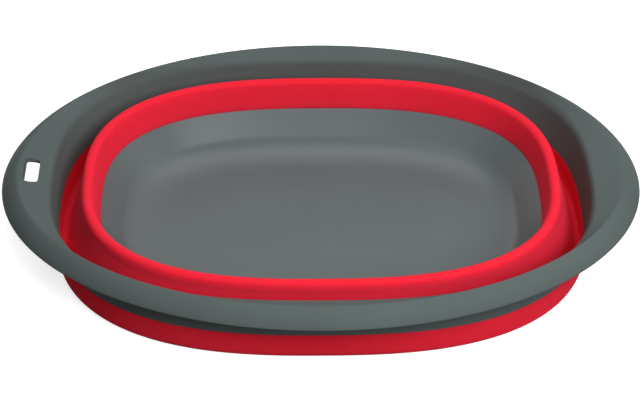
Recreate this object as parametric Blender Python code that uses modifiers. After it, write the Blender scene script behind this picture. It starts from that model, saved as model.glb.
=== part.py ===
"""Collapsible washing-up bowl, folded flat: a grey rim with two wings, a grey pan,
and a soft red wall between them that folds at two living hinges.

Metres, +Z up, +X along the bowl. The origin is on the floor under the bowl's centre.
Every ring of the wall is the crest oval set in or out by an offset, so one number places it.
"""

import math

import bmesh
import bpy
from mathutils import Vector

# Rim, seen from above
RIM_LENGTH = 0.440
RIM_WIDTH = 0.3335
WING_REACH = 0.034  # rim's edge to the mouth, at the two ends
SIDE_REACH = 0.0242  # rim's edge to the mouth, at the front and back
ROLL_WIDTH = 0.0112  # rolled-over outer edge, edge to crown
RIM_POWER = 2.0  # 2 is an ellipse, more is squarer
MOUTH_POWER = 2.5
OVAL_POWER = 2.65
ROLL_POWER = 1.4

# Rim, seen from the side
CROWN_RISE = 0.0065  # crown above the crest of the folded wall
LAND_DROP = 0.0048  # crown to the mouth's edge
LAND_RUN = 0.012  # land as wide as this has the full drop
LIP_DROP = 0.0113  # crown to the lower edge of the roll
END_DROOP = 0.0012  # how much lower the crown is at the two ends
RIM_DEPTH = 0.0336  # crown to the seam with the red wall
MOUTH_FILLET = 0.0030
MOST_FILLET = 0.5  # share of a narrow land that the fillet may take
FILLET_DEPTH = 0.0050
WALL_DRAFT_END = 0.0050
WALL_DRAFT_SIDE = 0.0021

# Hanging slot through the left wing
SLOT_LENGTH = 0.0262
SLOT_WIDTH = 0.0092
SLOT_CORNER = 0.0024
SLOT_INSET = 0.0208  # rim's edge to the slot's centre line

# Pan
FOOT_HEIGHT = 0.0025
FOOT_WIDTH = 0.0030
FOOT_OUTSET = 0.0047  # floor's edge to the foot's centre line
FOOT_DRAFT = 0.0004
PAN_DEPTH = 0.0226
PAN_FILLET = 0.039  # width of the curve from the floor to the side
PAN_STRAIGHT = 0.0050
PAN_SEAM_INSET = 0.0084
PAN_LEAN = 0.33  # offset gained for each metre of height

# Walls and the bonds between hard and soft plastic
HARD_WALL = 0.0025
SOFT_WALL = 0.0024
BOND_WALL = 0.0028
TONGUE_THICKNESS = 0.0009
TONGUE_HEIGHT = 0.0040
BOND_CLEARANCE = 0.0003

# Folding wall
BAND_RISE = 0.0204  # pan seam to the crest
CREST_RADIUS = 0.0027
TROUGH_REACH = 0.0204  # crest to the inner face of the outer band
TROUGH_RADIUS = 0.0026
FLOOR_CLEARANCE = 0.0008  # trough above the floor
HINGE_THICKNESS = 0.0012
HINGE_TAPER = 0.0050
HINGE_SETBACK = 0.0035  # crest hinge below the crest's roundness
HINGE_BLEND = math.radians(30)  # turn in which the trough regains its full wall
HINGE_CLEARANCE = 0.0003

# Number of sides and steps
SEGMENTS = 72
ROLL_STEPS = 5
LAND_STEPS = 3
FILLET_STEPS = 3
PAN_STEPS = 5
CORNER_STEPS = 3
ARC_STEP = math.radians(38)
SHARP = math.radians(40)
QUARTER = math.radians(90)

HARD_GREY = (0.125, 0.145, 0.150, 1.0)
SOFT_RED = (0.640, 0.018, 0.030, 1.0)

# Heights above the floor
PAN_FLOOR = FOOT_HEIGHT + HARD_WALL
PAN_SEAM = PAN_FLOOR + PAN_DEPTH
CREST = PAN_SEAM + BAND_RISE
CROWN = CREST + CROWN_RISE
LIP = CROWN - LIP_DROP
RIM_SEAM = CROWN - RIM_DEPTH

# Half sizes of the rim, of the mouth and of the crest oval, and offsets from that oval
RIM_HALF = (RIM_LENGTH / 2, RIM_WIDTH / 2)
MOUTH_HALF = (RIM_HALF[0] - WING_REACH, RIM_HALF[1] - SIDE_REACH)
CREST_HALF = (
    MOUTH_HALF[0] - WALL_DRAFT_END - TROUGH_REACH,
    MOUTH_HALF[1] - WALL_DRAFT_SIDE - TROUGH_REACH,
)
WALL_OUTER = TROUGH_REACH + BOND_WALL
PAN_SIDE_INSET = PAN_SEAM_INSET + PAN_LEAN * PAN_STRAIGHT
PAN_FLOOR_INSET = PAN_SIDE_INSET + PAN_FILLET


def oval(half_size, power, offset=0.0):
    """Points of a superellipse, each moved out by the offset along its own normal."""
    half_length, half_width = half_size
    points = []
    for k in range(SEGMENTS):
        turn = 2 * math.pi * k / SEGMENTS
        cosine, sine = math.cos(turn), math.sin(turn)
        reach = (abs(cosine) ** power + abs(sine) ** power) ** (-1 / power)
        point = Vector((half_length * cosine * reach, half_width * sine * reach))
        normal = Vector(
            (
                math.copysign(abs(point.x / half_length) ** (power - 1), point.x) / half_length,
                math.copysign(abs(point.y / half_width) ** (power - 1), point.y) / half_width,
            )
        )
        points.append(point + offset * normal.normalized())
    return points


def crest_oval(offset):
    return oval(CREST_HALF, OVAL_POWER, offset)


def mixed(first, second, shares):
    """Between two ovals: share 0 is the first, 1 the second."""
    return [a.lerp(b, share) for a, b, share in zip(first, second, shares)]


def ring(points, heights):
    """An oval lifted to one height, or to a height for each point."""
    if isinstance(heights, float):
        heights = [heights] * len(points)
    return [Vector((p.x, p.y, z)) for p, z in zip(points, heights)]


def smooth(share):
    share = min(1.0, max(0.0, share))
    return share * share * (3 - 2 * share)


def behind(rings, thickness):
    """The hidden side of a skin whose rings run inwards, square to the skin."""
    hidden = []
    last = len(rings) - 1
    for j, here in enumerate(rings):
        before, after = rings[max(j - 1, 0)], rings[min(j + 1, last)]
        moved = []
        for k, point in enumerate(here):
            along = here[(k + 1) % SEGMENTS] - here[k - 1]
            across = after[k] - before[k]
            moved.append(point + thickness * across.cross(along).normalized())
        hidden.append(moved)
    return hidden


def material(name, colour, roughness):
    made = bpy.data.materials.new(name)
    made.use_nodes = True
    shader = made.node_tree.nodes["Principled BSDF"]
    shader.inputs["Base Color"].default_value = colour
    shader.inputs["Roughness"].default_value = roughness
    shader.inputs["Metallic"].default_value = 0.0
    made.diffuse_color = colour
    return made


def finished(obj, surface, collection):
    """Puts an object in its collection with its material, shaded smooth between sharp edges."""
    obj.data.materials.append(surface)
    for old in list(obj.users_collection):
        old.objects.unlink(obj)
    collection.objects.link(obj)
    obj.data.shade_smooth()
    obj.data.set_sharp_from_angle(angle=SHARP)
    return obj


def loft(name, rings, closed, surface, collection):
    """A skin through rings of unlike shape. It closes on its first ring, or its ends are filled."""
    mesh = bmesh.new()
    loops = [[mesh.verts.new(point) for point in points] for points in rings]
    for lower, upper in zip(loops, loops[1:] + loops[:1] if closed else loops[1:]):
        for k in range(SEGMENTS):
            mesh.faces.new((lower[k - 1], lower[k], upper[k], upper[k - 1]))
    if not closed:
        mesh.faces.new(loops[0])
        mesh.faces.new(loops[-1])
    bmesh.ops.recalc_face_normals(mesh, faces=mesh.faces)
    data = bpy.data.meshes.new(name)
    mesh.to_mesh(data)
    mesh.free()
    return finished(bpy.data.objects.new(name, data), surface, collection)


def sweep(name, section, surface, collection, guides):
    """A closed section of (offset, height) points, clockwise, carried round the crest oval."""
    profile = bpy.data.curves.new(name + "_section", "CURVE")
    outline = profile.splines.new("POLY")
    outline.points.add(len(section) - 1)
    for point, (offset, height) in zip(outline.points, section):
        point.co = (offset, height, 0.0, 1.0)
    outline.use_cyclic_u = True
    guide = bpy.data.objects.new(profile.name, profile)
    guide.hide_render = True
    guide.display_type = "WIRE"
    guides.objects.link(guide)

    path = bpy.data.curves.new(name + "_path", "CURVE")
    path.dimensions = "3D"
    path.twist_mode = "Z_UP"
    path.bevel_mode = "OBJECT"
    path.bevel_object = guide
    route = path.splines.new("POLY")
    route.points.add(SEGMENTS - 1)
    for point, place in zip(route.points, crest_oval(0.0)):
        point.co = (place.x, place.y, 0.0, 1.0)
    route.use_cyclic_u = True
    swept = bpy.data.objects.new(name + "_path", path)
    collection.objects.link(swept)

    graph = bpy.context.evaluated_depsgraph_get()
    data = bpy.data.meshes.new_from_object(swept.evaluated_get(graph))
    data.name = name
    bpy.data.objects.remove(swept)
    return finished(bpy.data.objects.new(name, data), surface, collection)


def drooped(points, height):
    """A height for each point of the rim, which falls off towards the two ends."""
    return [height - END_DROOP * (p.x / RIM_HALF[0]) ** 2 for p in points]


def rim_rings():
    """The rim's skin from its lower edge, over the roll and the land, to the seam."""
    rings = []
    for step in range(ROLL_STEPS + 1):
        turn = QUARTER * (1 - step / ROLL_STEPS)
        out = ROLL_WIDTH * math.sin(turn) ** (2 / ROLL_POWER)
        down = LIP_DROP * (1 - max(math.cos(turn), 0.0) ** (2 / ROLL_POWER))
        points = oval(RIM_HALF, RIM_POWER, out - ROLL_WIDTH)
        rings.append(ring(points, drooped(points, CROWN - down)))

    crown = oval(RIM_HALF, RIM_POWER, -ROLL_WIDTH)
    mouth = oval(MOUTH_HALF, MOUTH_POWER)
    seam = crest_oval(TROUGH_REACH)
    widths = [(a - b).length for a, b in zip(crown, mouth)]
    drops = [LAND_DROP * smooth(width / LAND_RUN) for width in widths]
    fillets = [min(MOUTH_FILLET / width, MOST_FILLET) for width in widths]

    for step in range(1, LAND_STEPS + 1):
        shares = [step / LAND_STEPS * (1 - fillet) for fillet in fillets]
        points = mixed(crown, mouth, shares)
        falls = [drop * share for drop, share in zip(drops, shares)]
        heights = [high - fall for high, fall in zip(drooped(points, CROWN), falls)]
        rings.append(ring(points, heights))

    start = rings[-1]
    edge = ring(mouth, [high - drop for high, drop in zip(drooped(mouth, CROWN), drops)])
    fillet_end = CROWN - LAND_DROP - FILLET_DEPTH
    depth_share = (LAND_DROP + FILLET_DEPTH) / RIM_DEPTH
    wall_top = mixed(mouth, seam, [depth_share] * SEGMENTS)
    end = ring(wall_top, drooped(wall_top, fillet_end))
    for step in range(1, FILLET_STEPS + 1):
        u = step / FILLET_STEPS
        rings.append(
            [a * (1 - u) ** 2 + b * 2 * u * (1 - u) + c * u * u for a, b, c in zip(start, edge, end)]
        )
    rings.append(ring(seam, RIM_SEAM))
    return rings


def tongue_rings(offset, base_height, direction, lean):
    """A tongue in the middle of a bond: up with direction 1, down with -1."""
    near = offset - TONGUE_THICKNESS / 2
    far = offset + TONGUE_THICKNESS / 2
    shift = lean * TONGUE_HEIGHT * direction
    tip = base_height + TONGUE_HEIGHT * direction
    return [
        ring(crest_oval(near), base_height),
        ring(crest_oval(near + shift), tip),
        ring(crest_oval(far + shift), tip),
        ring(crest_oval(far), base_height),
    ]


def groove(offset, mouth_height, direction, lean):
    """Section of the groove that a tongue fills, from its inner edge to its outer edge."""
    half = TONGUE_THICKNESS / 2 + BOND_CLEARANCE
    depth = TONGUE_HEIGHT * direction
    shift = lean * depth
    return [
        (offset - half, mouth_height),
        (offset - half + shift, mouth_height + depth),
        (offset + half + shift, mouth_height + depth),
        (offset + half, mouth_height),
    ]


def arc(centre, radius, start, end):
    """Points round a centre, in (offset, height), both ends included."""
    steps = max(1, math.ceil(abs(end - start) / ARC_STEP - 1e-6))
    turns = [start + (end - start) * k / steps for k in range(steps + 1)]
    return [(centre[0] + radius * math.cos(t), centre[1] + radius * math.sin(t)) for t in turns]


def fold_line():
    """The web's visible face: the line that touches the crest's and the trough's roundness."""
    crest = Vector((0.0, CREST - CREST_RADIUS))
    trough = Vector((TROUGH_REACH - TROUGH_RADIUS, FLOOR_CLEARANCE + SOFT_WALL + TROUGH_RADIUS))
    between = trough - crest
    slope = math.atan2(between.y, between.x)
    slope -= math.asin((CREST_RADIUS + TROUGH_RADIUS) / between.length)
    along = Vector((math.cos(slope), math.sin(slope)))
    out = Vector((-along.y, along.x))
    top = crest + CREST_RADIUS * out
    bottom = trough - TROUGH_RADIUS * out
    return crest, trough, along, out, top, bottom


def inner_band_section():
    """The red band above the pan and the rounded crest, down to the crest hinge."""
    crest, _, along, out, top, _ = fold_line()
    hinge = top + HINGE_SETBACK * along
    bond_low = PAN_SEAM + BOND_CLEARANCE
    bond_offset = -PAN_SEAM_INSET + BOND_WALL / 2
    face = [(-PAN_SEAM_INSET, bond_low)]
    band_turn = math.pi - math.atan(PAN_LEAN)
    face += arc(crest, CREST_RADIUS, band_turn, math.atan2(out.y, out.x))
    face.append(tuple(hinge))
    face.append(tuple(hinge - HINGE_THICKNESS * out))
    face.append(tuple(crest))
    face.append((-PAN_SEAM_INSET + BOND_WALL, bond_low))
    return face + groove(bond_offset, bond_low, 1, PAN_LEAN)[::-1]


def web_section():
    """The web between the two hinges: straight where it shows, thinned behind at each end."""
    _, _, along, out, top, bottom = fold_line()
    start = top + (HINGE_SETBACK + HINGE_CLEARANCE) * along
    end = bottom - HINGE_CLEARANCE * along
    taper = HINGE_TAPER * along
    middle = (start + end) / 2
    front = [start, middle, end]
    back = [
        end - HINGE_THICKNESS * out,
        end - taper - SOFT_WALL * out,
        middle - SOFT_WALL * out,
        start + taper - SOFT_WALL * out,
        start - HINGE_THICKNESS * out,
    ]
    return [tuple(point) for point in front + back]


def outer_band_section():
    """The red band under the rim and the rounded trough, up to the trough hinge."""
    _, trough, along, out, _, bottom = fold_line()
    bond_high = RIM_SEAM - BOND_CLEARANCE
    bond_offset = TROUGH_REACH + BOND_WALL / 2
    web_turn = math.atan2(-out.y, -out.x)
    outer_radius = TROUGH_RADIUS + SOFT_WALL
    face = groove(bond_offset, bond_high, -1, 0.0)[::-1]
    face.append((TROUGH_REACH, bond_high))
    face += arc(trough, TROUGH_RADIUS, 0.0, web_turn)
    face.append(tuple(bottom - HINGE_THICKNESS * out))
    face += arc(trough, outer_radius, web_turn + HINGE_BLEND, 0.0)
    face.append((WALL_OUTER, bond_high))
    return face[::-1]


def build_rim(collection, cutters):
    skin = rim_rings()
    hidden = behind(skin, HARD_WALL)
    lip = oval(RIM_HALF, RIM_POWER, -HARD_WALL)
    hidden[0] = ring(lip, drooped(lip, LIP))
    # The hidden side needs no rings on the land, and at the narrow corners they would cross.
    hidden = hidden[: ROLL_STEPS + 1] + hidden[ROLL_STEPS + LAND_STEPS : -1]
    bond = tongue_rings(TROUGH_REACH + BOND_WALL / 2, RIM_SEAM, -1, 0.0)
    outer_seam = ring(crest_oval(WALL_OUTER), RIM_SEAM)
    surface = material("rim_polypropylene", HARD_GREY, 0.42)
    rim = loft("rim", skin + bond + [outer_seam] + hidden[::-1], True, surface, collection)

    bpy.ops.mesh.primitive_cube_add(size=1.0, location=(SLOT_INSET - RIM_HALF[0], 0.0, CROWN))
    cutter = bpy.context.object
    cutter.name = "slot_cutter"
    cutter.scale = (SLOT_WIDTH, SLOT_LENGTH, LIP_DROP * 2)
    bpy.ops.object.transform_apply(location=False, rotation=False, scale=True)
    upright = cutter.data.attributes.new("bevel_weight_edge", "FLOAT", "EDGE")
    for edge in cutter.data.edges:
        ends = [cutter.data.vertices[v].co for v in edge.vertices]
        upright.data[edge.index].value = float(abs(ends[0].z - ends[1].z) > LIP_DROP)
    rounding = cutter.modifiers.new("corners", "BEVEL")
    rounding.limit_method = "WEIGHT"
    rounding.width = SLOT_CORNER
    rounding.segments = CORNER_STEPS
    for old in list(cutter.users_collection):
        old.objects.unlink(cutter)
    cutters.objects.link(cutter)
    cutter.hide_render = True
    cutter.display_type = "WIRE"
    slot = rim.modifiers.new("hanging_slot", "BOOLEAN")
    slot.operation = "DIFFERENCE"
    slot.object = cutter
    return rim


def build_pan(collection):
    fillet_height = PAN_DEPTH - PAN_STRAIGHT
    inside = [ring(crest_oval(-PAN_SEAM_INSET), PAN_SEAM)]
    for step in range(PAN_STEPS + 1):
        turn = QUARTER * step / PAN_STEPS
        offset = -PAN_SIDE_INSET - PAN_FILLET * (1 - math.cos(turn))
        height = PAN_FLOOR + fillet_height * (1 - math.sin(turn))
        inside.append(ring(crest_oval(offset), height))
    outside = behind(inside, HARD_WALL)[1:-1]

    centre = [Vector((0.0, 0.0))] * SEGMENTS
    floor_edge = crest_oval(-PAN_FLOOR_INSET)
    middle = mixed(floor_edge, centre, [0.5] * SEGMENTS)
    inside.append(ring(middle, PAN_FLOOR))

    foot_out = PAN_FLOOR_INSET - FOOT_OUTSET - FOOT_WIDTH / 2
    foot_in = foot_out + FOOT_WIDTH
    foot = [
        ring(crest_oval(-foot_out + FOOT_DRAFT), FOOT_HEIGHT),
        ring(crest_oval(-foot_out), 0.0),
        ring(crest_oval(-foot_in), 0.0),
        ring(crest_oval(-foot_in - FOOT_DRAFT), FOOT_HEIGHT),
        ring(middle, FOOT_HEIGHT),
    ]
    bond = tongue_rings(-PAN_SEAM_INSET + BOND_WALL / 2, PAN_SEAM, 1, PAN_LEAN)
    outer_seam = ring(crest_oval(-PAN_SEAM_INSET + BOND_WALL), PAN_SEAM)
    surface = material("pan_polypropylene", HARD_GREY, 0.40)
    rings = inside[::-1] + bond + [outer_seam] + outside + foot
    return loft("base", rings, False, surface, collection)


def main():
    for old in list(bpy.data.objects):
        bpy.data.objects.remove(old)
    scene = bpy.context.scene.collection
    parts = bpy.data.collections.new("collapsible_bowl")
    cutters = bpy.data.collections.new("cutters_and_guides")
    scene.children.link(parts)
    scene.children.link(cutters)

    build_pan(parts)
    rim = build_rim(parts, cutters)
    red = {name: material(name + "_rubber", SOFT_RED, 0.36) for name in ("crest", "web", "trough")}
    sweep("inner_band", inner_band_section(), red["crest"], parts, cutters)
    sweep("folding_web", web_section(), red["web"], parts, cutters)
    outer = sweep("outer_band", outer_band_section(), red["trough"], parts, cutters)

    lift = bpy.data.objects.new("rim_lift", None)
    parts.objects.link(lift)
    for piece in (rim, outer):
        piece.parent = lift

    fold = fold_line()
    crest_hinge = (fold[4] + HINGE_SETBACK * fold[2]).y
    print(f"crest hinge {crest_hinge:.5f}, trough hinge {fold[5].y:.5f}, crown {CROWN:.5f}")


main()
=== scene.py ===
"""Looks of a collapsible washing-up bowl that is folded flat.

A rigid grey rim and a rigid grey pan, moulded in polypropylene, are joined by a soft red
wall that folds at a living hinge under its crest and at another one above its trough.
Lengths are in metres, +Z is up and the bowl lies along X. Each ring of the wall is the
crest oval set in or out by an offset, so a section is a list of (offset, height) points.
"""

import math

import bmesh
import bpy
import numpy as np
from bpy.props import FloatProperty, FloatVectorProperty, IntProperty, PointerProperty
from mathutils import Matrix, Vector


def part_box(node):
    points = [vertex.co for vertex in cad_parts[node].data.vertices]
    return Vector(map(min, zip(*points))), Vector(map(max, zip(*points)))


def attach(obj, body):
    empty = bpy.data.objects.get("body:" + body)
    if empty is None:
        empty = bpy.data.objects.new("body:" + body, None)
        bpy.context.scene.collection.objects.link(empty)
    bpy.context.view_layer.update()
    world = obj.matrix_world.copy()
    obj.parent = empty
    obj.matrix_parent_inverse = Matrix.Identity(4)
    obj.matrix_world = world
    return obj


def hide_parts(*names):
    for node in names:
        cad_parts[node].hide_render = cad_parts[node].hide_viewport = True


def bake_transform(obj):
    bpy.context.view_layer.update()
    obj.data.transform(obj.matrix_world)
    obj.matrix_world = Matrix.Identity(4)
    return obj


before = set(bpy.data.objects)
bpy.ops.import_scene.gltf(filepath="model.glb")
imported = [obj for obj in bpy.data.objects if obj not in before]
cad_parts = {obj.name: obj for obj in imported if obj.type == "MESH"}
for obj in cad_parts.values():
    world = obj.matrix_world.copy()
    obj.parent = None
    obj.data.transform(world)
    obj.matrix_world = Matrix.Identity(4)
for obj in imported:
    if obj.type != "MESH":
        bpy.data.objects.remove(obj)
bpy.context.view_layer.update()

bl_info = {
    "name": "Collapsible bowl",
    "version": (1, 0, 0),
    "blender": (4, 5, 0),
    "location": "View3D > Sidebar > Bowl",
    "description": "Models and dresses a collapsible washing-up bowl that is folded flat",
    "category": "Add Mesh",
}

RIM_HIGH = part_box("rim")[1]
CREST_LOW, CREST_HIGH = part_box("inner_band")
TROUGH_LOW, TROUGH_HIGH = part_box("outer_band")
SEAM_CLEARANCE = 0.0003  # what the solids keep between each other

PAN_BODY = "pan"
RIM_BODY = "lifting_rim"
SWEEP_TREE = "carry_section_round_oval"
QUARTER = math.radians(90)
SMOOTH_UNDER = math.radians(35)  # edges flatter than this are shaded smooth
TROUGH_BACK_START = math.radians(30)  # from the web round to where the trough's back begins

# Shares of a stretch that a rounding may take
MOST_MOUTH_FILLET = 0.5  # of the land, where it is narrow
HIDDEN_CORNER_ACROSS = 0.4  # of the land's hidden side, at most
HIDDEN_CORNER_DOWN = 0.45  # of the wall's hidden side

# Moulded plastic
NOISE_LOW, NOISE_HIGH = 0.3, 0.7  # a noise value mostly lies between these
TONE_SWING = 0.03
ROUGHNESS_SWING = 0.04
SCATTER_DEPTH = 0.01
SCATTER_COLOURS = (1.0, 0.15, 0.1)  # how far red, green and blue light get, as shares of it

# The photograph's frame, in pixels
FRAME_WIDTH, FRAME_HEIGHT = 640, 400

# The studio
WHITE = (1.0, 1.0, 1.0, 1.0)
FLOOR_PAPER = (0.8, 0.8, 0.8, 1.0)  # the white that is seen, with the bowl's shadow on it
FLOOR_BOUNCE = (0.15, 0.15, 0.15, 1.0)  # what the floor gives back to the bowl
FLOOR_HALF_SIZE = 6.0
LAMP_DISTANCE = 1.5
# Each soft box: degrees to the right of straight ahead, degrees up, and its width and height
SOFT_BOXES = {
    "key": (27, 40, (1.0, 0.8)),
    "left": (-70, 68, (0.8, 0.8)),
    "right": (110, 45, (0.8, 0.8)),
    "back": (175, 62, (1.0, 0.8)),
    "rear": (210, 15, (1.0, 0.6)),
}

# Steps of the curves
ROLL_STEPS = 24
LAND_STEPS = 14
FILLET_STEPS = 12
WALL_STEPS = 8
EDGE_STEPS = 5
PAN_STEPS = 40
BAND_STEPS = 8
WEB_STEPS = 40
CORNER_STEPS = 8
ARC_STEP = math.radians(7)


def linear(code):
    """An sRGB hex value, such as 5F6A68, as linear red, green, blue and alpha."""
    shown = [int(code[k : k + 2], 16) / 255 for k in (0, 2, 4)]
    return [c / 12.92 if c <= 0.04045 else ((c + 0.055) / 1.055) ** 2.4 for c in shown] + [1.0]


def length(name, description, default):
    """A size in metres."""
    return FloatProperty(
        name=name, description=description, default=default, unit="LENGTH", precision=5
    )


def number(name, description, default):
    """A share, a power or a strength."""
    return FloatProperty(name=name, description=description, default=default)


def angle(name, description, degrees):
    """An angle, written in degrees."""
    return FloatProperty(
        name=name, description=description, default=math.radians(degrees), subtype="ANGLE"
    )


def colour(name, description, code):
    """A colour, written as an sRGB hex value."""
    return FloatVectorProperty(
        name=name, description=description, default=linear(code), size=4, subtype="COLOR"
    )


class RimShape(bpy.types.PropertyGroup):
    """Sizes of the grey rim."""

    half_length: length("Half length", "Centre to the end of a wing", RIM_HIGH.x)
    half_width: length("Half width", "Centre to the front edge", RIM_HIGH.y)
    wing_reach: length("Wing reach", "Rim's edge to the mouth at the ends", 0.034)
    side_reach: length("Side reach", "Rim's edge to the mouth at the front", 0.0242)
    roll_width: length("Roll width", "Rim's edge to the crown", 0.0112)
    crown: length("Crown height", "Highest line of the rim", RIM_HIGH.z)
    lip_drop: length("Lip drop", "Crown to the roll's lower edge", 0.0113)
    end_droop: length("End droop", "How much lower the crown is at the two ends", 0.0012)
    land_drop: length("Land drop", "Crown to the mouth's edge", 0.0048)
    land_run: length("Land run", "Land as wide as this has the full drop", 0.004)
    seam: length("Seam height", "Where grey meets red", TROUGH_HIGH.z + SEAM_CLEARANCE)
    fillet: length("Mouth fillet", "Land taken by the rounding at the mouth", 0.0020)
    fillet_depth: length("Fillet depth", "Wall taken by that rounding", 0.0030)
    wall: length("Wall", "Thickness of the plastic", 0.0025)
    edge_radius: length("Edge radius", "Rounding of the roll's lower edge", 0.0009)
    rim_power: number("Rim power", "2 is an ellipse, more is squarer", 2.0)
    mouth_power: number("Mouth power", "2 is an ellipse, more is squarer", 2.7)
    roll_power: number("Roll power", "2 is a quarter round, less is flatter", 1.35)
    crown_ease: number("Crown ease", "Share of the land that rounds the crown", 0.12)


class SlotShape(bpy.types.PropertyGroup):
    """Sizes of the hanging slot in the left wing."""

    slot_length: length("Length", "Across the bowl", 0.0262)
    slot_width: length("Width", "Along the bowl", 0.0092)
    corner: length("Corner", "Radius of the corners", 0.0026)
    inset: length("Inset", "Rim's edge to the slot's centre line", 0.0208)
    edge: length("Edge", "Rounding of the slot's edges", 0.0005)


class WallShape(bpy.types.PropertyGroup):
    """Sizes of the red folding wall."""

    crest_half_length: length("Crest half length", "Centre to the crest's line", 0.1606)
    crest_half_width: length("Crest half width", "Centre to the crest's line", 0.12005)
    power: number("Power", "2 is an ellipse, more is squarer", 2.65)
    crest: length("Crest height", "Top of the folded wall", CREST_HIGH.z)
    crest_radius: length("Crest radius", "Rounding of the crest", 0.0040)
    trough_reach: length("Trough reach", "Crest to the outer band", 0.0204)
    trough_radius: length("Trough radius", "Rounding of the trough", 0.0026)
    wall: length("Wall", "Thickness of the rubber", 0.0024)
    hinge_wall: length("Hinge wall", "Thickness at the living hinges", 0.0012)
    hinge_taper: length("Hinge taper", "Where the web thins to the hinge", 0.0050)
    hinge_setback: length("Hinge setback", "Crest's rounding to the hinge", 0.0035)
    hinge_bead: length("Hinge bead", "Radius of the bead along the trough hinge", 0.0006)
    bond_wall: length("Bond wall", "Thickness at the bond to the grey plastic", 0.0028)
    gap: length("Hinge gap", "Hairline between the two sides of a hinge", 0.00003)
    around: IntProperty(name="Around", description="Sides of the oval", default=360, min=24)


class PanShape(bpy.types.PropertyGroup):
    """Sizes of the grey pan."""

    seam: length("Seam height", "Where grey meets red", CREST_LOW.z - SEAM_CLEARANCE)
    seam_inset: length("Seam inset", "Crest to the seam", 0.0084)
    side_height: length("Side height", "Height of the straight sloping side", 0.0139)
    side_slope: angle("Side slope", "Slope of that side", 45)
    fillet: length("Fillet", "Width of the curve from the side to the floor", 0.0360)
    floor: length("Floor", "Height of the inner floor", 0.0050)
    wall: length("Wall", "Thickness of the plastic", 0.0025)
    foot_height: length("Foot height", "Height of the ring that the bowl stands on", 0.0025)
    foot_width: length("Foot width", "Width of that ring", 0.0030)
    foot_inset: length("Foot inset", "Crest to the foot's centre line", 0.04435)
    foot_draft: length("Foot draft", "How much wider the foot is at its root", 0.0004)
    foot_rounding: length("Foot rounding", "Bevel of the foot's lower edges", 0.0006)
    gate_radius: length("Gate radius", "Dimple under the pan where the plastic came in", 0.0065)
    gate_depth: length("Gate depth", "Depth of that dimple", 0.0004)


class BowlFinish(bpy.types.PropertyGroup):
    """Colours of the bowl."""

    rim: colour("Rim", "Polypropylene of the rim", "555E5D")
    pan: colour("Pan", "Polypropylene of the pan", "4E5758")
    wall: colour("Wall", "Thermoplastic rubber", "E82439")


class StudioSettings(bpy.types.PropertyGroup):
    """Camera and lamps."""

    distance: length("Distance", "Camera to the crest's centre", 1.5099)
    elevation: angle("Elevation", "Camera above the horizon", 35.15)
    azimuth: angle("Azimuth", "Camera left of straight ahead", 1.25)
    roll: angle("Roll", "Camera turned on its own axis", 0.38)
    lens: number("Lens", "Focal length in millimetres", 123.04)
    pivot_right: number("Pivot right", "Left edge to the crest's centre, in pixels", 321.27)
    pivot_down: number("Pivot down", "Top edge to the crest's centre, in pixels", 172.87)
    key: number("Key", "Large soft box in front, a little to the right, watts", 24.0)
    left: number("Left", "Weak soft box high up on the left, watts", 4.0)
    right: number("Right", "Weak soft box on the right, watts", 3.5)
    back: number("Back", "Soft box high up behind, watts", 7.0)
    rear: number("Rear", "Weak soft box low behind, for the rear side, watts", 2.5)
    fill: number("Fill", "Light from all round, as a share of white", 0.01)
    floor_glow: number("Floor glow", "Light that makes the seen floor white", 0.75)


def turns(count):
    """Evenly spaced angles once round."""
    return np.linspace(0, 2 * np.pi, count, endpoint=False)


def oval(half_length, half_width, power, offset, count):
    """Points of a superellipse, each moved out by the offset along its own normal."""
    cosine, sine = np.cos(turns(count)), np.sin(turns(count))
    reach = (abs(cosine) ** power + abs(sine) ** power) ** (-1 / power)
    x, y = half_length * cosine * reach, half_width * sine * reach
    across = np.sign(x) * abs(x / half_length) ** (power - 1) / half_length
    up = np.sign(y) * abs(y / half_width) ** (power - 1) / half_width
    size = np.hypot(across, up)
    return np.stack([x + offset * across / size, y + offset * up / size], axis=1)


def ring(points, heights):
    """An oval lifted to one height, or to a height for each point."""
    return np.column_stack([points, np.broadcast_to(heights, len(points))])


def mixed(first, second, share):
    """Between two ovals or rings: share 0 is the first, 1 the second."""
    share = np.reshape(share, (-1, 1))
    return first * (1 - share) + second * share


def between(first, second, steps):
    """Rings from the first, which is left out, to the second."""
    return [mixed(first, second, k / steps) for k in range(1, steps + 1)]


def rounded(start, corner, end, steps):
    """Rings of a curve that leaves start and reaches end, aimed at the corner."""
    shares = [k / steps for k in range(steps + 1)]
    return [start * (1 - u) ** 2 + corner * 2 * u * (1 - u) + end * u * u for u in shares]


def smooth(share):
    """An S-shaped rise from 0 to 1, flat at both ends."""
    share = np.clip(share, 0, 1)
    return share * share * (3 - 2 * share)


def loft(name, rings, closed):
    """A skin through rings of unlike shape. It closes on its first ring, or its ends are filled."""
    mesh = bmesh.new()
    loops = [[mesh.verts.new(point) for point in points] for points in rings]
    for lower, upper in zip(loops, loops[1:] + loops[:1] if closed else loops[1:]):
        for k in range(len(lower)):
            mesh.faces.new((lower[k - 1], lower[k], upper[k], upper[k - 1]))
    if not closed:
        for loop in (loops[0], loops[-1]):
            centre = mesh.verts.new(sum((v.co for v in loop), Vector()) / len(loop))
            for k in range(len(loop)):
                mesh.faces.new((loop[k - 1], loop[k], centre))
    bmesh.ops.recalc_face_normals(mesh, faces=mesh.faces)
    data = bpy.data.meshes.new(name)
    mesh.to_mesh(data)
    mesh.free()
    made = bpy.data.objects.new(name, data)
    bpy.context.scene.collection.objects.link(made)
    return made


def finished(piece, material):
    """Shades a piece smooth between its sharp edges and gives it its material."""
    piece.data.materials.clear()
    piece.data.materials.append(material)
    piece.data.shade_smooth()
    piece.data.set_sharp_from_angle(angle=SMOOTH_UNDER)
    return piece


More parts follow.
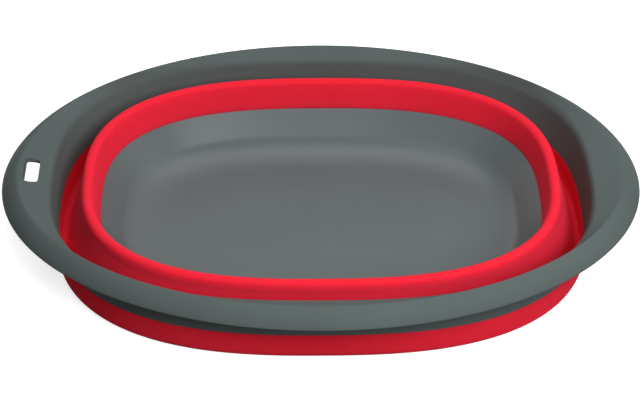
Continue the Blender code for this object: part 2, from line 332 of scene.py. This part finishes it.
def add_node(tree, kind, links=None, **settings):
    """Adds a node with its settings. links gives each input a socket or a value."""
    made = tree.nodes.new(kind)
    for name, value in settings.items():
        setattr(made, name, value)
    for name, value in (links or {}).items():
        if isinstance(value, bpy.types.NodeSocket):
            tree.links.new(value, made.inputs[name])
        else:
            made.inputs[name].default_value = value
    return made


def new_material(name):
    """A material without nodes, and its tree."""
    made = bpy.data.materials.new(name)
    made.use_nodes = True
    made.node_tree.nodes.clear()
    return made, made.node_tree


def ranged(tree, value, low, high):
    """A noise value brought between low and high."""
    limits = {"From Min": NOISE_LOW, "From Max": NOISE_HIGH, "To Min": low, "To Max": high}
    return add_node(tree, "ShaderNodeMapRange", {"Value": value, **limits}).outputs["Result"]


def moulded(name, base, flow_size, grain, grain_depth, roughness, gloss, scatter=0.0):
    """A moulded plastic: slow changes of tone where the melt flowed, and the mould's fine grain."""
    # A real mould's grain is about 0.05 mm wide. The callers draw it coarser, so that it shows
    material, tree = new_material(name)
    place = add_node(tree, "ShaderNodeTexCoord").outputs["Object"]
    flow = add_node(
        tree, "ShaderNodeTexNoise", {"Vector": place, "Scale": 1 / flow_size, "Detail": 2.0}
    )
    tint = add_node(
        tree,
        "ShaderNodeVectorMath",
        {0: base[:3], "Scale": ranged(tree, flow.outputs["Fac"], 1 - TONE_SWING, 1 + TONE_SWING)},
        operation="SCALE",
    )
    pores = add_node(
        tree,
        "ShaderNodeTexNoise",
        {"Vector": place, "Scale": 1 / grain, "Detail": 3.0, "Roughness": 0.6},
    )
    bump = add_node(
        tree,
        "ShaderNodeBump",
        {"Height": pores.outputs["Fac"], "Strength": 0.5, "Distance": grain_depth},
    )
    dullest, smoothest = roughness + ROUGHNESS_SWING, roughness - ROUGHNESS_SWING
    shader = add_node(
        tree,
        "ShaderNodeBsdfPrincipled",
        {
            "Base Color": tint.outputs["Vector"],
            "Roughness": ranged(tree, pores.outputs["Fac"], smoothest, dullest),
            "Specular IOR Level": gloss,
            "Subsurface Weight": scatter,
            "Subsurface Scale": SCATTER_DEPTH,
            "Subsurface Radius": SCATTER_COLOURS,
            "Normal": bump.outputs["Normal"],
        },
    )
    add_node(tree, "ShaderNodeOutputMaterial", {"Surface": shader.outputs["BSDF"]})
    return material


def wall_rubber(base):
    # Over-moulded thermoplastic rubber: saturated red, with a matt skin and a little light inside
    return moulded(
        "thermoplastic_rubber_matt",
        base,
        flow_size=0.05,
        grain=0.0009,
        grain_depth=0.00002,
        roughness=0.8,
        gloss=0.08,
        scatter=0.7,
    )


def rim_plastic(base):
    # Polypropylene from a spark-eroded mould: dull, with a fine matt grain
    return moulded(
        "polypropylene_spark_eroded",
        base,
        flow_size=0.06,
        grain=0.0007,
        grain_depth=0.00003,
        roughness=0.5,
        gloss=0.01,
    )


def pan_plastic(base):
    # Polypropylene from a finely blasted mould: a little smoother than the rim
    return moulded(
        "polypropylene_satin",
        base,
        flow_size=0.06,
        grain=0.0007,
        grain_depth=0.00002,
        roughness=0.35,
        gloss=0.3,
    )


def crest_oval(wall, offset):
    """The crest's line, set out by the offset, or in where it is negative."""
    return oval(wall.crest_half_length, wall.crest_half_width, wall.power, offset, wall.around)


def arc(centre, radius, start, end):
    """Points round a centre, in (offset, height), both ends included."""
    steps = max(1, math.ceil(abs(end - start) / ARC_STEP))
    angles = [start + (end - start) * k / steps for k in range(steps + 1)]
    return [(centre[0] + radius * math.cos(t), centre[1] + radius * math.sin(t)) for t in angles]


def straight(start, end, steps):
    """Points from start up to, but not at, end."""
    start, end = Vector(start), Vector(end)
    return [tuple(start.lerp(end, k / steps)) for k in range(steps)]


class FoldLine:
    """The web's visible face: the line that touches the crest's and the trough's rounding."""

    def __init__(self, wall):
        floor = TROUGH_LOW.z + wall.wall
        self.crest = Vector((0.0, wall.crest - wall.crest_radius))
        self.trough = Vector((wall.trough_reach - wall.trough_radius, floor + wall.trough_radius))
        span = self.trough - self.crest
        slope = math.atan2(span.y, span.x)
        slope -= math.asin((wall.crest_radius + wall.trough_radius) / span.length)
        self.along = Vector((math.cos(slope), math.sin(slope)))
        self.out = Vector((-self.along.y, self.along.x))
        self.top = self.crest + wall.crest_radius * self.out
        self.bottom = self.trough - wall.trough_radius * self.out
        self.hinge = self.top + wall.hinge_setback * self.along


def sweep_tree():
    """Geometry nodes that carry a closed section round a superellipse."""
    tree = bpy.data.node_groups.new(SWEEP_TREE, "GeometryNodeTree")
    sockets = (
        ("Section", "NodeSocketObject"),
        ("Half Length", "NodeSocketFloat"),
        ("Half Width", "NodeSocketFloat"),
        ("Power", "NodeSocketFloat"),
        ("Around", "NodeSocketInt"),
        ("Material", "NodeSocketMaterial"),
    )
    for name, kind in sockets:
        tree.interface.new_socket(name, in_out="INPUT", socket_type=kind)
    tree.interface.new_socket("Geometry", in_out="OUTPUT", socket_type="NodeSocketGeometry")
    given = add_node(tree, "NodeGroupInput").outputs

    def calculated(operation, first, second=0.0):
        sum_node = add_node(tree, "ShaderNodeMath", {0: first, 1: second}, operation=operation)
        return sum_node.outputs[0]

    circle = add_node(
        tree, "GeometryNodeCurvePrimitiveCircle", {"Resolution": given["Around"], "Radius": 1.0}
    )
    place = add_node(tree, "GeometryNodeInputPosition").outputs[0]
    part = add_node(tree, "ShaderNodeSeparateXYZ", {0: place}).outputs
    raised = [
        calculated("POWER", calculated("ABSOLUTE", part[axis]), given["Power"]) for axis in "XY"
    ]
    root = calculated("DIVIDE", -1.0, given["Power"])
    reach = calculated("POWER", calculated("ADD", *raised), root)
    sizes = add_node(
        tree, "ShaderNodeCombineXYZ", {"X": given["Half Length"], "Y": given["Half Width"], "Z": 0.0}
    )
    stretched = add_node(
        tree, "ShaderNodeVectorMath", {0: place, 1: sizes.outputs[0]}, operation="MULTIPLY"
    )
    moved = add_node(
        tree, "ShaderNodeVectorMath", {0: stretched.outputs[0], "Scale": reach}, operation="SCALE"
    )
    path = add_node(
        tree,
        "GeometryNodeSetPosition",
        {"Geometry": circle.outputs["Curve"], "Position": moved.outputs[0]},
    )
    upright = add_node(tree, "GeometryNodeSetCurveNormal", {"Curve": path.outputs[0]}, mode="Z_UP")
    section = add_node(tree, "GeometryNodeObjectInfo", {"Object": given["Section"]})
    swept = add_node(
        tree,
        "GeometryNodeCurveToMesh",
        {"Curve": upright.outputs[0], "Profile Curve": section.outputs["Geometry"]},
    )
    real = add_node(tree, "GeometryNodeRealizeInstances", {"Geometry": swept.outputs[0]})
    dressed = add_node(
        tree, "GeometryNodeSetMaterial", {"Geometry": real.outputs[0], "Material": given["Material"]}
    )
    add_node(tree, "NodeGroupOutput", {"Geometry": dressed.outputs[0]})
    return tree


def sweep(name, section, wall, material):
    """A closed section of (offset, height) points carried round the crest oval, as a plain mesh."""
    outline = bpy.data.curves.new(name + "_section", "CURVE")
    spline = outline.splines.new("POLY")
    spline.points.add(len(section) - 1)
    for point, (offset, height) in zip(spline.points, section):
        point.co = (offset, -height, 0.0, 1.0)
    spline.use_cyclic_u = True
    guide = bpy.data.objects.new(outline.name, outline)
    holder = bpy.data.objects.new(name + "_sweep", bpy.data.meshes.new(name + "_sweep"))
    for helper in (guide, holder):
        bpy.context.scene.collection.objects.link(helper)

    tree = bpy.data.node_groups.get(SWEEP_TREE) or sweep_tree()
    modifier = holder.modifiers.new("sweep", "NODES")
    modifier.node_group = tree
    values = {
        "Section": guide,
        "Half Length": wall.crest_half_length,
        "Half Width": wall.crest_half_width,
        "Power": wall.power,
        "Around": wall.around,
        "Material": material,
    }
    for socket in tree.interface.items_tree:
        if socket.in_out == "INPUT":
            modifier[socket.identifier] = values[socket.name]
    graph = bpy.context.evaluated_depsgraph_get()
    data = bpy.data.meshes.new_from_object(holder.evaluated_get(graph))
    data.name = name
    for helper in (holder, guide):
        bpy.data.objects.remove(helper)
    piece = bpy.data.objects.new(name, data)
    bpy.context.scene.collection.objects.link(piece)
    return finished(piece, material)


def inner_band_section(wall, pan, fold):
    """The band above the pan and the rounded crest, down to the crest hinge."""
    seam = pan.seam + wall.gap
    to_seam = Vector((-pan.seam_inset, seam)) - fold.crest
    band_turn = math.atan2(to_seam.y, to_seam.x) + 2 * math.pi
    band_turn -= math.acos(wall.crest_radius / to_seam.length)
    crest = arc(fold.crest, wall.crest_radius, band_turn, math.atan2(fold.out.y, fold.out.x))
    hinge = [tuple(fold.hinge), tuple(fold.hinge - wall.hinge_wall * fold.out)]
    back = [tuple(fold.crest), (-pan.seam_inset + wall.bond_wall, seam)]
    return straight((-pan.seam_inset, seam), crest[0], BAND_STEPS) + crest + hinge + back


def web_section(wall, fold):
    """The web between the hinges: straight where it shows, thinned behind at each end."""
    start = fold.hinge + wall.gap * fold.along
    end = fold.bottom - wall.gap * fold.along
    taper = wall.hinge_taper * fold.along
    thin, full = wall.hinge_wall * fold.out, wall.wall * fold.out
    front = straight(start, end, WEB_STEPS) + [tuple(end)]
    back = straight(end - thin, end - taper - full, BAND_STEPS)
    back += straight(end - taper - full, start + taper - full, WEB_STEPS)
    back += straight(start + taper - full, start - thin, BAND_STEPS) + [tuple(start - thin)]
    return front + back


def outer_band_section(wall, rim, fold):
    """The band under the rim and the rounded trough, up to the bead along the trough hinge."""
    seam = rim.seam - wall.gap
    web_turn = math.atan2(-fold.out.y, -fold.out.x)
    out_turn = math.atan2(fold.out.y, fold.out.x)
    bead_turn = web_turn + 2 * wall.hinge_bead / wall.trough_radius
    bead = fold.bottom + wall.hinge_bead * fold.along
    face = [(wall.trough_reach, seam)]
    face += arc(fold.trough, wall.trough_radius, 0.0, bead_turn)
    face += arc(bead, wall.hinge_bead, out_turn - QUARTER, out_turn + QUARTER)
    face.append(tuple(fold.bottom - wall.hinge_wall * fold.out))
    back_turn = web_turn + TROUGH_BACK_START
    face += arc(fold.trough, wall.trough_radius + wall.wall, back_turn, 0.0)
    face.append((wall.trough_reach + wall.bond_wall, seam))
    return face[::-1]


class BOWL_OT_folding_wall(bpy.types.Operator):
    """Add the red folding wall: the inner band with its crest, the web and the outer band"""

    bl_idname = "bowl.folding_wall"
    bl_label = "Folding wall"

    def execute(self, context):
        scene = context.scene
        wall, pan, rim = scene.bowl_wall, scene.bowl_pan, scene.bowl_rim
        fold = FoldLine(wall)
        red = wall_rubber(scene.bowl_finish.wall)
        crest = sweep("crest_band", inner_band_section(wall, pan, fold), wall, red)
        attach(crest, PAN_BODY)
        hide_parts("inner_band")
        trough = sweep("trough_band", outer_band_section(wall, rim, fold), wall, red)
        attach(trough, RIM_BODY)
        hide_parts("outer_band")
        web = sweep("wall_web", web_section(wall, fold), wall, red)
        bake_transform(web)
        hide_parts("folding_web")
        return {"FINISHED"}


def rim_oval(rim, wall, offset):
    """The rim's outer edge, set in where the offset is negative."""
    return oval(rim.half_length, rim.half_width, rim.rim_power, offset, wall.around)


def rim_ring(rim, points, heights):
    """A ring of the rim, whose height falls off towards the two ends."""
    return ring(points, heights - rim.end_droop * (points[:, 0] / rim.half_length) ** 2)


def mouth_oval(rim, wall):
    """Where the land ends and the bowl's mouth begins."""
    half_length, half_width = rim.half_length - rim.wing_reach, rim.half_width - rim.side_reach
    return oval(half_length, half_width, rim.mouth_power, 0.0, wall.around)


def roll_rings(rim, wall, depth):
    """The roll's rings from its lower edge to the crown, on a skin this deep under the seen one."""
    width, drop = rim.roll_width - depth, rim.lip_drop - depth
    first_turn = math.acos((rim.edge_radius / rim.lip_drop) ** (rim.roll_power / 2))
    rings = []
    for step in range(ROLL_STEPS + 1):
        turn = first_turn * (1 - step / ROLL_STEPS)
        out = width * math.sin(turn) ** (2 / rim.roll_power)
        down = drop * (1 - math.cos(turn) ** (2 / rim.roll_power))
        points = rim_oval(rim, wall, out - rim.roll_width)
        rings.append(rim_ring(rim, points, rim.crown - depth - down))
    return rings


class RimLines:
    """The lines that the rim's skin is stretched between, on its seen side."""

    def __init__(self, rim, wall):
        self.lip = rim.crown - rim.lip_drop
        self.crown = rim_oval(rim, wall, -rim.roll_width)
        self.mouth = mouth_oval(rim, wall)
        self.seam = crest_oval(wall, wall.trough_reach)
        self.land_width = np.linalg.norm(self.crown - self.mouth, axis=1)
        self.land_drop = rim.land_drop * smooth(self.land_width / rim.land_run)
        depth = rim.land_drop + rim.fillet_depth
        wall_top = mixed(self.mouth, self.seam, depth / (rim.crown - rim.seam))
        self.wall_top = rim_ring(rim, wall_top, rim.crown - depth)


def seen_rim(rim, wall, lines):
    """The rim's seen skin: the lower edge, roll, land, rounded mouth and wall."""
    roll = roll_rings(rim, wall, 0.0)
    edge_start = rim_ring(rim, rim_oval(rim, wall, -rim.edge_radius), lines.lip)
    edge_corner = rim_ring(rim, rim_oval(rim, wall, 0.0), lines.lip)
    rings = rounded(edge_start, edge_corner, roll[0], EDGE_STEPS)[:-1] + roll
    fillet = np.minimum(rim.fillet / lines.land_width, MOST_MOUTH_FILLET)
    ease = rim.crown_ease
    for step in range(1, LAND_STEPS + 1):
        share = step / LAND_STEPS * (1 - fillet)
        fall = np.where(share < ease, share**2 / (2 * ease), share - ease / 2) / (1 - ease / 2)
        land = mixed(lines.crown, lines.mouth, share)
        rings.append(rim_ring(rim, land, rim.crown - lines.land_drop * fall))
    edge = rim_ring(rim, lines.mouth, rim.crown - lines.land_drop)
    rings += rounded(rings[-1], edge, lines.wall_top, FILLET_STEPS)[1:]
    return rings + between(lines.wall_top, ring(lines.seam, rim.seam), WALL_STEPS)


def hidden_rim(rim, wall, lines):
    """The rim's hidden skin, back from the seam to the lower edge of the roll."""
    thickness = crest_oval(wall, wall.trough_reach + rim.wall) - lines.seam
    outer_seam = ring(crest_oval(wall, wall.trough_reach + wall.bond_wall), rim.seam)
    hidden_top = ring(lines.wall_top[:, :2] + thickness, lines.wall_top[:, 2])
    corner = rim_ring(rim, lines.mouth + thickness, rim.crown - lines.land_drop - rim.wall)
    crown = rim_ring(rim, lines.crown, rim.crown - rim.wall)
    reach = np.linalg.norm(crown - corner, axis=1)
    corner_start = mixed(corner, hidden_top, HIDDEN_CORNER_DOWN)
    corner_end = mixed(corner, crown, np.minimum(rim.wall / reach, HIDDEN_CORNER_ACROSS))
    rings = [outer_seam] + between(outer_seam, hidden_top, WALL_STEPS)
    rings += rounded(corner_start, corner, corner_end, CORNER_STEPS)
    rings += between(corner_end, crown, LAND_STEPS)
    rings += roll_rings(rim, wall, rim.wall)[::-1][1:]
    edge_corner = rim_ring(rim, rim_oval(rim, wall, -rim.wall), lines.lip)
    edge_end = rim_ring(rim, rim_oval(rim, wall, rim.edge_radius - rim.wall), lines.lip)
    return rings + rounded(rings[-1], edge_corner, edge_end, EDGE_STEPS)[1:]


def slot_cutter(rim, slot):
    """The slot's rounded outline as a plug, which widens where it passes the land's two faces."""
    run = rim.wing_reach - rim.roll_width
    tilt = math.atan2(rim.land_drop, run)
    down = rim.land_drop * (slot.inset - rim.roll_width) / run
    outline = []
    for quarter, (side_x, side_y) in enumerate(((1, 1), (-1, 1), (-1, -1), (1, -1))):
        corner_x = side_x * (slot.slot_width / 2 - slot.corner)
        corner_y = side_y * (slot.slot_length / 2 - slot.corner)
        for step in range(CORNER_STEPS + 1):
            turn = QUARTER * (quarter + step / CORNER_STEPS)
            outline.append((corner_x, corner_y, math.cos(turn), math.sin(turn)))
    flare = [
        (slot.edge * (math.sin(turn) - 1), slot.edge * (1 - math.cos(turn)))
        for turn in (QUARTER, QUARTER / 2, 0)
    ]
    levels = [(rim.wall, slot.edge)] + flare
    levels += [(-rim.wall - depth, grow) for depth, grow in flare[::-1]]
    levels.append((-2 * rim.wall, slot.edge))
    rings = []
    for depth, grow in levels:
        radius = slot.corner + grow
        rings.append([(x + radius * c, y + radius * s, depth) for x, y, c, s in outline])
    cutter = loft("slot_cutter", rings, closed=False)
    cutter.data.transform(Matrix.Rotation(-tilt, 4, "Y"))
    centre_x = slot.inset - rim.half_length
    down += rim.end_droop * (centre_x / rim.half_length) ** 2
    cutter.data.transform(Matrix.Translation((centre_x, 0.0, rim.crown - down)))
    return cutter


class BOWL_OT_rim(bpy.types.Operator):
    """Add the grey rim with its two wings and the hanging slot in the left one"""

    bl_idname = "bowl.rim"
    bl_label = "Rim"

    def execute(self, context):
        scene = context.scene
        grey = rim_plastic(scene.bowl_finish.rim)
        rim, wall = scene.bowl_rim, scene.bowl_wall
        lines = RimLines(rim, wall)
        rings = seen_rim(rim, wall, lines) + hidden_rim(rim, wall, lines)
        piece = loft("rim_shell", rings, closed=True)
        cutter = slot_cutter(rim, scene.bowl_slot)
        cut = piece.modifiers.new("slot", "BOOLEAN")
        cut.operation = "DIFFERENCE"
        cut.object = cutter
        graph = context.evaluated_depsgraph_get()
        piece.data = bpy.data.meshes.new_from_object(piece.evaluated_get(graph))
        piece.modifiers.clear()
        bpy.data.objects.remove(cutter)
        finished(piece, grey)
        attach(piece, RIM_BODY)
        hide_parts("rim")
        return {"FINISHED"}


def pan_side(pan):
    """The pan's seen side in (offset, height), from the floor's edge up to the seam."""
    run = math.tan(QUARTER - pan.side_slope)
    seam = Vector((-pan.seam_inset, pan.seam))
    side_end = seam - pan.side_height * Vector((run, 1.0))
    corner = seam - (pan.seam - pan.floor) * Vector((run, 1.0))
    floor_edge = Vector((side_end.x - pan.fillet, pan.floor))
    curve = rounded(floor_edge, corner, side_end, PAN_STEPS)
    curve += [Vector(point) for point in straight(side_end, seam, BAND_STEPS)[1:]]
    return curve + [seam]


def pan_foot(pan):
    """The ring that the bowl stands on, in (offset, height), from its outer side to its inner."""
    outer = pan.foot_width / 2 - pan.foot_inset
    inner = outer - pan.foot_width
    return [
        (outer + pan.foot_draft, pan.foot_height),
        (outer, pan.foot_rounding),
        (outer - pan.foot_rounding, 0.0),
        (inner + pan.foot_rounding, 0.0),
        (inner, pan.foot_rounding),
        (inner - pan.foot_draft, pan.foot_height),
    ]


def pan_underside(pan, wall, side, foot):
    """The hidden face of the pan's side, from the seam down to the foot."""
    under = []
    for k, point in enumerate(side):
        along = side[min(k + 1, len(side) - 1)] - side[max(k - 1, 0)]
        under.append(point + pan.wall * Vector((along.y, -along.x)).normalized())
    foot_root = foot[0][0]
    under = [point for point in under if point.x > foot_root][::-1]
    under[0] = Vector((-pan.seam_inset + wall.bond_wall, pan.seam))
    return under


def pan_rings(pan, wall):
    """The pan from the middle of its floor, over the side and the seam, to the underside."""
    side, foot = pan_side(pan), pan_foot(pan)
    under = pan_underside(pan, wall, side, foot)
    middle = mixed(crest_oval(wall, side[0].x), np.zeros((wall.around, 2)), 0.5)
    gate = oval(pan.gate_radius, pan.gate_radius, 2.0, 0.0, wall.around)
    dimple = oval(pan.gate_radius, pan.gate_radius, 2.0, -pan.gate_depth, wall.around)
    rings = [ring(middle, pan.floor)]
    rings += [ring(crest_oval(wall, offset), height) for offset, height in side + under + foot]
    rings += [ring(middle, pan.foot_height), ring(gate, pan.foot_height)]
    rings.append(ring(dimple, pan.foot_height + pan.gate_depth))
    return rings


class BOWL_OT_pan(bpy.types.Operator):
    """Add the grey pan with the ring that it stands on"""

    bl_idname = "bowl.pan"
    bl_label = "Pan"

    def execute(self, context):
        scene = context.scene
        grey = pan_plastic(scene.bowl_finish.pan)
        piece = loft("bowl_pan", pan_rings(scene.bowl_pan, scene.bowl_wall), closed=False)
        finished(piece, grey)
        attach(piece, PAN_BODY)
        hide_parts("base")
        return {"FINISHED"}


def sees_white(tree):
    """1 for the rays that see the white room: the camera's, reflected and refracted ones."""
    ray = add_node(tree, "ShaderNodeLightPath").outputs
    bent = add_node(
        tree,
        "ShaderNodeMath",
        {0: ray["Is Glossy Ray"], 1: ray["Is Transmission Ray"]},
        operation="MAXIMUM",
    )
    seen = add_node(
        tree, "ShaderNodeMath", {0: ray["Is Camera Ray"], 1: bent.outputs[0]}, operation="MAXIMUM"
    )
    return seen.outputs[0]


def floor_material(glow):
    """Matt white studio floor. It is white where it is seen, with the bowl's shadow."""
    material, tree = new_material("white_studio_floor")
    paper = add_node(tree, "ShaderNodeBsdfDiffuse", {"Color": FLOOR_PAPER}).outputs[0]
    light = add_node(tree, "ShaderNodeEmission", {"Strength": glow}).outputs[0]
    both = add_node(tree, "ShaderNodeAddShader", {0: paper, 1: light}).outputs[0]
    bounce = add_node(tree, "ShaderNodeBsdfDiffuse", {"Color": FLOOR_BOUNCE}).outputs[0]
    seen = add_node(tree, "ShaderNodeMixShader", {0: sees_white(tree), 1: bounce, 2: both})
    add_node(tree, "ShaderNodeOutputMaterial", {"Surface": seen.outputs[0]})
    return material


def aim(thing, target):
    """Turns a lamp or camera to face a point."""
    direction = Vector(target) - thing.location
    thing.rotation_euler = direction.to_track_quat("-Z", "Y").to_euler()


def away_from_bowl(turn, rise):
    """A step of length 1 from the bowl: turned right from straight ahead, and raised."""
    level = math.cos(rise)
    return Vector((math.sin(turn) * level, -math.cos(turn) * level, math.sin(rise)))


def add_floor(glow):
    """The white floor."""
    plane = bmesh.new()
    bmesh.ops.create_grid(plane, x_segments=1, y_segments=1, size=FLOOR_HALF_SIZE)
    sheet = bpy.data.meshes.new("studio_floor")
    plane.to_mesh(sheet)
    plane.free()
    sheet.materials.append(floor_material(glow))
    floor = bpy.data.objects.new("studio_floor", sheet)
    bpy.context.scene.collection.objects.link(floor)


def add_room(fill):
    """The world: white where it is seen, and a weak light from all round."""
    world = bpy.data.worlds.new("soft_white_room")
    bpy.context.scene.world = world
    world.use_nodes = True
    tree = world.node_tree
    tree.nodes.clear()
    dim = add_node(tree, "ShaderNodeBackground", {"Color": WHITE, "Strength": fill})
    full = add_node(tree, "ShaderNodeBackground", {"Color": WHITE, "Strength": 1.0})
    shaders = {0: sees_white(tree), 1: dim.outputs[0], 2: full.outputs[0]}
    seen = add_node(tree, "ShaderNodeMixShader", shaders)
    add_node(tree, "ShaderNodeOutputWorld", {"Surface": seen.outputs[0]})


def add_soft_box(name, pivot, watts):
    """A lamp at its place in SOFT_BOXES, turned to the bowl."""
    degrees_right, degrees_up, sides = SOFT_BOXES[name]
    lamp = bpy.data.lights.new(name + "_soft_box", "AREA")
    lamp.shape = "RECTANGLE"
    lamp.size, lamp.size_y = sides
    lamp.energy = watts
    box = bpy.data.objects.new(lamp.name, lamp)
    away = away_from_bowl(math.radians(degrees_right), math.radians(degrees_up))
    box.location = pivot + LAMP_DISTANCE * away
    aim(box, pivot)
    bpy.context.scene.collection.objects.link(box)


def add_camera(studio, pivot):
    """The camera, which sees the bowl as the photograph does."""
    camera = bpy.data.objects.new("camera", bpy.data.cameras.new("camera"))
    bpy.context.scene.collection.objects.link(camera)
    bpy.context.scene.camera = camera
    camera.data.lens = studio.lens
    camera.data.shift_x = (FRAME_WIDTH / 2 - studio.pivot_right) / FRAME_WIDTH
    camera.data.shift_y = (studio.pivot_down - FRAME_HEIGHT / 2) / FRAME_WIDTH
    away = away_from_bowl(-studio.azimuth, studio.elevation)
    camera.location = pivot + studio.distance * away
    aim(camera, pivot)
    camera.rotation_euler.rotate_axis("Z", studio.roll)


class BOWL_OT_stage(bpy.types.Operator):
    """Add the white floor, the soft lamps and the camera"""

    bl_idname = "bowl.stage"
    bl_label = "Stage"

    def execute(self, context):
        scene = context.scene
        studio = scene.bowl_studio
        pivot = Vector((0.0, 0.0, scene.bowl_wall.crest))
        add_floor(studio.floor_glow)
        add_room(studio.fill)
        for name in SOFT_BOXES:
            add_soft_box(name, pivot, getattr(studio, name))
        add_camera(studio, pivot)
        scene.view_settings.view_transform = "Standard"
        return {"FINISHED"}


class BOWL_PT_panel(bpy.types.Panel):
    """Buttons for the bowl's pieces, in the 3D view's sidebar"""

    bl_label = "Collapsible bowl"
    bl_idname = "BOWL_PT_panel"
    bl_space_type = "VIEW_3D"
    bl_region_type = "UI"
    bl_category = "Bowl"

    def draw(self, context):
        for operator in OPERATORS:
            self.layout.operator(operator.bl_idname)


GROUPS = {
    "bowl_rim": RimShape,
    "bowl_slot": SlotShape,
    "bowl_wall": WallShape,
    "bowl_pan": PanShape,
    "bowl_finish": BowlFinish,
    "bowl_studio": StudioSettings,
}
OPERATORS = (BOWL_OT_pan, BOWL_OT_folding_wall, BOWL_OT_rim, BOWL_OT_stage)


def register():
    for made in (*GROUPS.values(), *OPERATORS, BOWL_PT_panel):
        bpy.utils.register_class(made)
    for name, group in GROUPS.items():
        setattr(bpy.types.Scene, name, PointerProperty(type=group))


def unregister():
    for name in GROUPS:
        delattr(bpy.types.Scene, name)
    for made in (BOWL_PT_panel, *OPERATORS, *GROUPS.values()):
        bpy.utils.unregister_class(made)


def main():
    register()
    bpy.ops.bowl.pan()
    bpy.ops.bowl.folding_wall()
    bpy.ops.bowl.rim()
    bpy.ops.bowl.stage()


if __name__ == "__main__":
    main()
